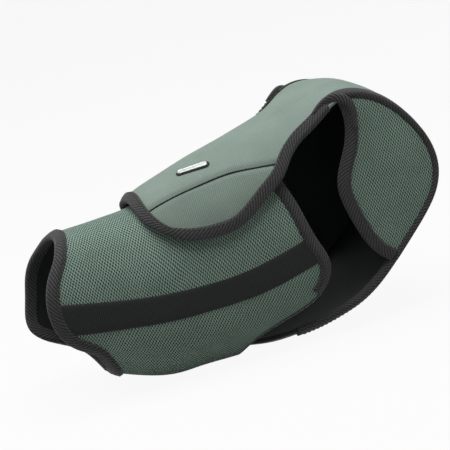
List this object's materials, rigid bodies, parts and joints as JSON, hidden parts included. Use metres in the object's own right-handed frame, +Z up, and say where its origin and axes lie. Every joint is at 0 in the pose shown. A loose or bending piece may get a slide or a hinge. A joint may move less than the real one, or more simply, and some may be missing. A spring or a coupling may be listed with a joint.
{
  "type": "spotting scope cover",
  "caption": "Padded stay-on cover for an angled spotting scope: a tapered open sleeve, a fold-down rear hood with open sides, and a long top flap that laps over the sleeve.",
  "frame": {"origin": "middle of the level patch under the sleeve's belly, which the cover rests on", "axes": "+X along the sleeve towards the rear hood, +Y to the left seen from behind the front rim looking towards the hood, +Z up"},
  "size_m": [0.3024, 0.1124, 0.1745],
  "materials": {
    "mesh_fabric_dark": "dark grey-green spacer mesh",
    "mesh_fabric_light": "grey-green spacer mesh",
    "edge_tape": "charcoal woven tape",
    "lining": "black brushed lining",
    "hinge_cloth": "black woven cloth",
    "hook_and_loop": "black hook and loop",
    "badge_metal": "pewter, satin",
    "badge_backing": "dark matt"
  },
  "bodies": {
    "sleeve": {"sleeve_upper_panel": "mesh_fabric_dark", "sleeve_lower_panel": "mesh_fabric_dark", "sleeve_lining": "lining", "side_band_left": "edge_tape", "side_band_right": "edge_tape", "front_rim_binding": "edge_tape", "rear_rim_binding": "edge_tape", "belly_hem_left": "edge_tape", "belly_hem_right": "edge_tape", "loop_patch": "hook_and_loop", "hinge_strip_panel": "hinge_cloth", "hinge_strip_lining": "lining", "hinge_tab_left": "edge_tape", "hinge_tab_right": "edge_tape"},
    "hood": {"hood_back_panel": "mesh_fabric_light", "hood_lining": "lining", "hood_gusset_left": "mesh_fabric_light", "hood_gusset_right": "mesh_fabric_light", "gusset_lining_left": "lining", "gusset_lining_right": "lining", "gusset_binding_left": "edge_tape", "gusset_binding_right": "edge_tape", "seam_tape_left": "edge_tape", "seam_tape_right": "edge_tape", "strip_binding_left": "edge_tape", "strip_binding_right": "edge_tape"},
    "flap": {"flap_top_panel": "mesh_fabric_light", "flap_side_panel_left": "mesh_fabric_light", "flap_side_panel_right": "mesh_fabric_light", "flap_lining": "lining", "flap_binding": "edge_tape", "hook_patch": "hook_and_loop", "badge_backing": "badge_backing", "badge": "badge_metal"}
  },
  "joints": [
    {"name": "hood_fold", "type": "hinge", "parent": "sleeve", "child": "hood", "pos_m": [0.101, 0, 0.0062], "axis": [0, 1, 0], "range_deg": [0, 100]},
    {"name": "flap_lift", "type": "hinge", "parent": "hood", "child": "flap", "pos_m": [0.117, 0, 0.1717], "axis": [0, 1, 0], "range_deg": [0, 80]}
  ]
}
